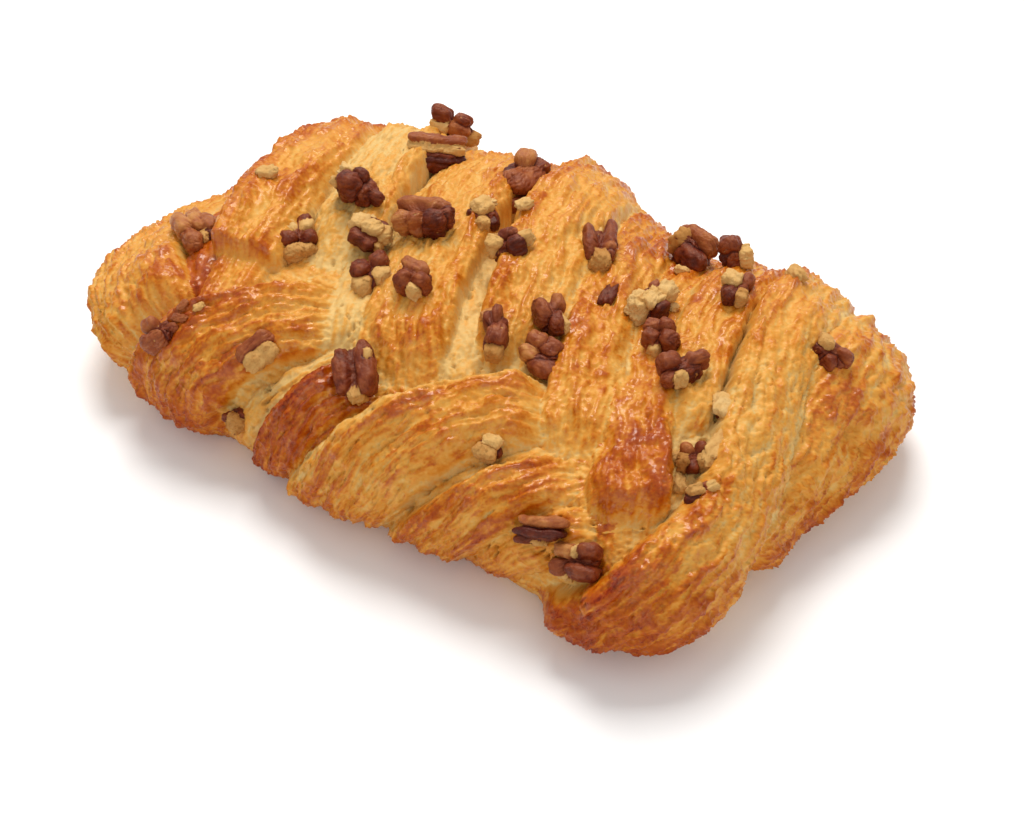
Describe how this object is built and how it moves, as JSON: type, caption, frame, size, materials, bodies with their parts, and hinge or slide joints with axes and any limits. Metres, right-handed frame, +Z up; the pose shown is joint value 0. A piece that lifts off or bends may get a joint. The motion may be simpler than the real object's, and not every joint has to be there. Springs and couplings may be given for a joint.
{
  "type": "pecan pastry",
  "caption": "Oblong plaited laminated pastry with a glazed brown crust, folded strips that cross over the top, and broken pecan pieces baked into it.",
  "frame": {"origin": "on the surface it rests on, under the middle of the piece", "axes": "+X along the plait towards its square corner end, +Y towards the back, away from the long side that the picture shows, +Z up"},
  "size_m": [0.1448, 0.0954, 0.0383],
  "materials": {
    "crust": "glazed golden-brown baked crust",
    "pecan": "toasted nut, brown skin and tan broken faces"
  },
  "bodies": {
    "root": {"pastry": "crust", "pecan_01": "pecan", "pecan_02": "pecan", "pecan_03": "pecan", "pecan_04": "pecan", "pecan_05": "pecan", "pecan_06": "pecan", "pecan_07": "pecan", "pecan_08": "pecan", "pecan_09": "pecan", "pecan_10": "pecan", "pecan_11": "pecan", "pecan_12": "pecan", "pecan_13": "pecan", "pecan_14": "pecan", "pecan_15": "pecan", "pecan_16": "pecan", "pecan_17": "pecan", "pecan_18": "pecan", "pecan_19": "pecan", "pecan_20": "pecan", "pecan_21": "pecan", "pecan_22": "pecan", "pecan_23": "pecan", "pecan_24": "pecan", "pecan_25": "pecan", "pecan_26": "pecan", "pecan_27": "pecan", "pecan_28": "pecan", "pecan_29": "pecan", "pecan_30": "pecan", "pecan_31": "pecan", "pecan_32": "pecan", "pecan_33": "pecan", "pecan_34": "pecan"}
  },
  "joints": []
}
